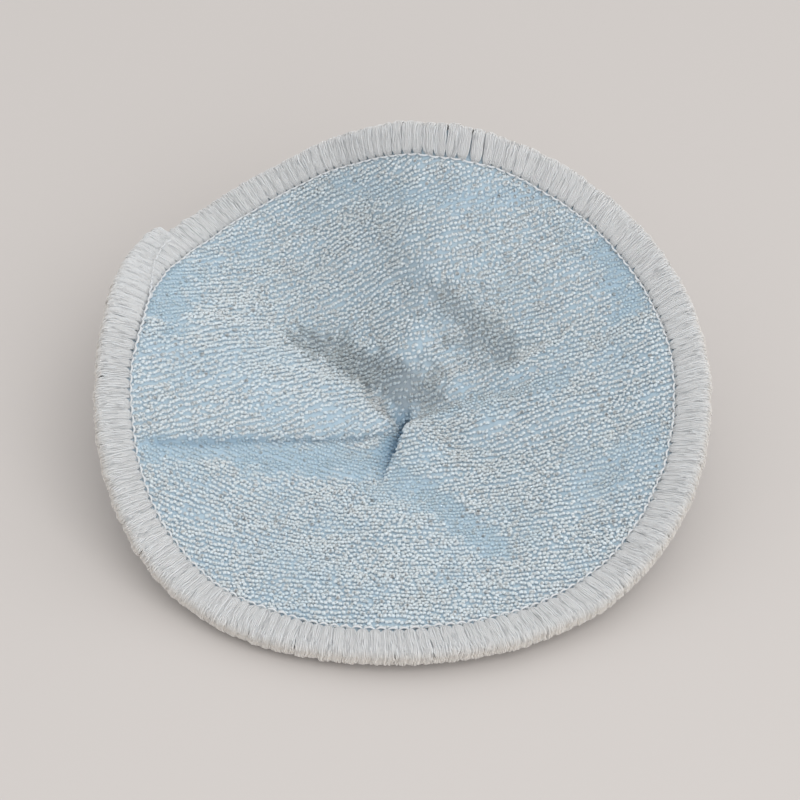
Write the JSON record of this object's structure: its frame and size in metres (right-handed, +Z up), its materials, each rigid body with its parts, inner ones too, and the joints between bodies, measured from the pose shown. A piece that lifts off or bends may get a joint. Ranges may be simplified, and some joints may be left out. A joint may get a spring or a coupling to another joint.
{
  "type": "polishing pad",
  "caption": "Round dished cloth polishing pad with a pale blue looped terry face, white overlocked edge and one sewn dart.",
  "frame": {"origin": "below the tip of the dart, on the flat of the crown that the pad rests on", "axes": "+Z up out of the hollow of the dish, the low edge of the dish faces -Y"},
  "size_m": [0.1198, 0.1128, 0.046],
  "materials": {
    "terry_blue": "soft looped microfibre terry, matt",
    "absorbent_white": "thick brushed absorbent cloth, matt",
    "backing_white": "smooth fine knit, matt",
    "overlock_white": "fluffy textured polyester thread, matt",
    "dart_thread": "fine spun polyester thread, matt"
  },
  "bodies": {
    "root": {"backing_cloth": "backing_white", "core_cloth": "absorbent_white", "face_cloth": "terry_blue", "edge_upper_looper_thread": "overlock_white", "edge_lower_looper_thread": "overlock_white", "edge_needle_thread": "overlock_white", "dart_needle_thread": "dart_thread", "dart_bobbin_thread": "dart_thread"}
  },
  "joints": []
}
